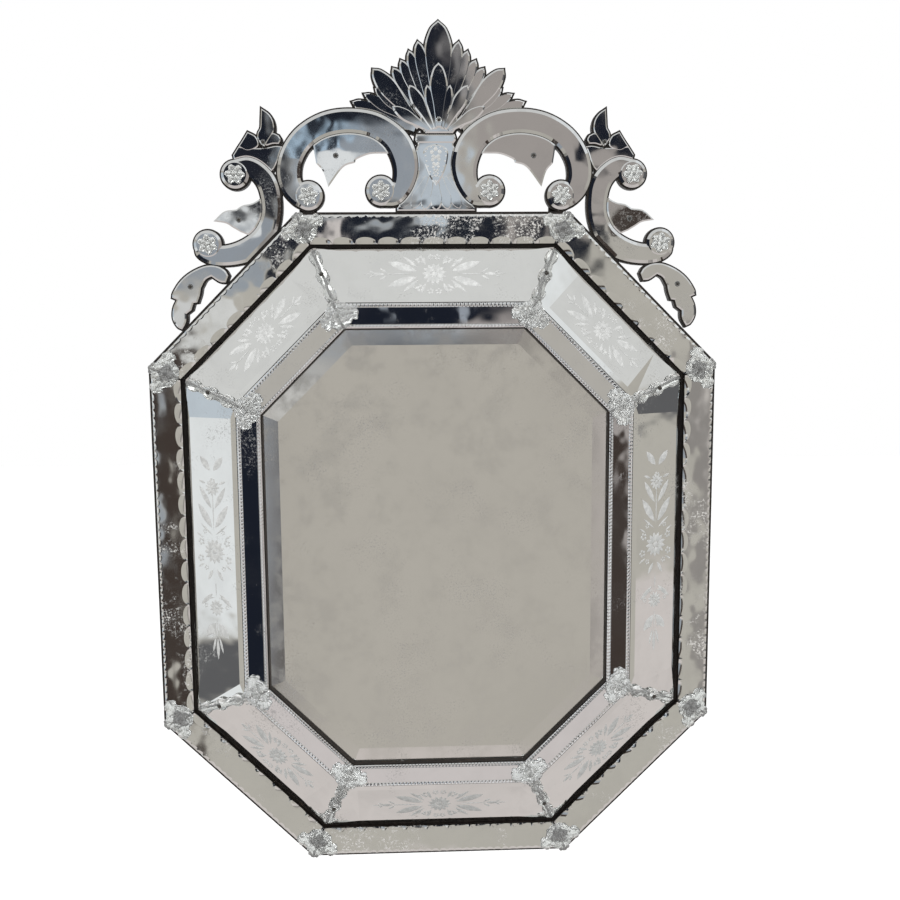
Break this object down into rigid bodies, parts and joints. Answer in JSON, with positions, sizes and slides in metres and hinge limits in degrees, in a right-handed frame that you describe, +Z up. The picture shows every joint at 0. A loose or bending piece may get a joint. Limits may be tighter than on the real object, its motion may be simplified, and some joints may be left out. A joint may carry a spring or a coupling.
{
  "type": "wall mirror",
  "caption": "Eight-sided Venetian wall mirror with engraved and bevelled mirror-glass borders, clear glass flowers at the mitres and a pierced scrolled crest.",
  "frame": {"origin": "the middle of the top rail's back face, which bears on the wall", "axes": "+Z up, +Y into the wall, +X to the right as seen from the front; the mirror faces -Y"},
  "size_m": [0.8636, 0.0748, 1.2888],
  "materials": {
    "mirror_glass": "silvered glass, cut and engraved, foxed with age",
    "clear_glass": "moulded clear glass",
    "blackened_wood": "blackened, worn satin",
    "bare_wood": "bare aged pine",
    "steel": "dulled steel"
  },
  "bodies": {
    "root": {"carcass": "blackened_wood", "middle_mirror": "mirror_glass", "backboard": "bare_wood", "inner_strip_1": "mirror_glass", "engraved_panel_1": "mirror_glass", "outer_strip_1": "mirror_glass", "corner_flower_1": "clear_glass", "mitre_ornament_1": "clear_glass", "inner_strip_2": "mirror_glass", "engraved_panel_2": "mirror_glass", "outer_strip_2": "mirror_glass", "corner_flower_2": "clear_glass", "mitre_ornament_2": "clear_glass", "inner_strip_3": "mirror_glass", "engraved_panel_3": "mirror_glass", "outer_strip_3": "mirror_glass", "corner_flower_3": "clear_glass", "mitre_ornament_3": "clear_glass", "inner_strip_4": "mirror_glass", "engraved_panel_4": "mirror_glass", "outer_strip_4": "mirror_glass", "corner_flower_4": "clear_glass", "mitre_ornament_4": "clear_glass", "inner_strip_5": "mirror_glass", "engraved_panel_5": "mirror_glass", "outer_strip_5": "mirror_glass", "corner_flower_5": "clear_glass", "mitre_ornament_5": "clear_glass", "inner_strip_6": "mirror_glass", "engraved_panel_6": "mirror_glass", "outer_strip_6": "mirror_glass", "corner_flower_6": "clear_glass", "mitre_ornament_6": "clear_glass", "inner_strip_7": "mirror_glass", "engraved_panel_7": "mirror_glass", "outer_strip_7": "mirror_glass", "corner_flower_7": "clear_glass", "mitre_ornament_7": "clear_glass", "inner_strip_8": "mirror_glass", "engraved_panel_8": "mirror_glass", "outer_strip_8": "mirror_glass", "corner_flower_8": "clear_glass", "mitre_ornament_8": "clear_glass", "crest_board": "blackened_wood", "palmette": "mirror_glass", "vase": "mirror_glass", "big_scroll_left": "mirror_glass", "small_scroll_left": "mirror_glass", "big_leaf_left": "mirror_glass", "small_leaf_left": "mirror_glass", "finial_left": "mirror_glass", "drooping_leaf_left": "mirror_glass", "hanging_plate_left": "steel", "big_scroll_right": "mirror_glass", "small_scroll_right": "mirror_glass", "big_leaf_right": "mirror_glass", "small_leaf_right": "mirror_glass", "finial_right": "mirror_glass", "drooping_leaf_right": "mirror_glass", "hanging_plate_right": "steel"}
  },
  "joints": []
}
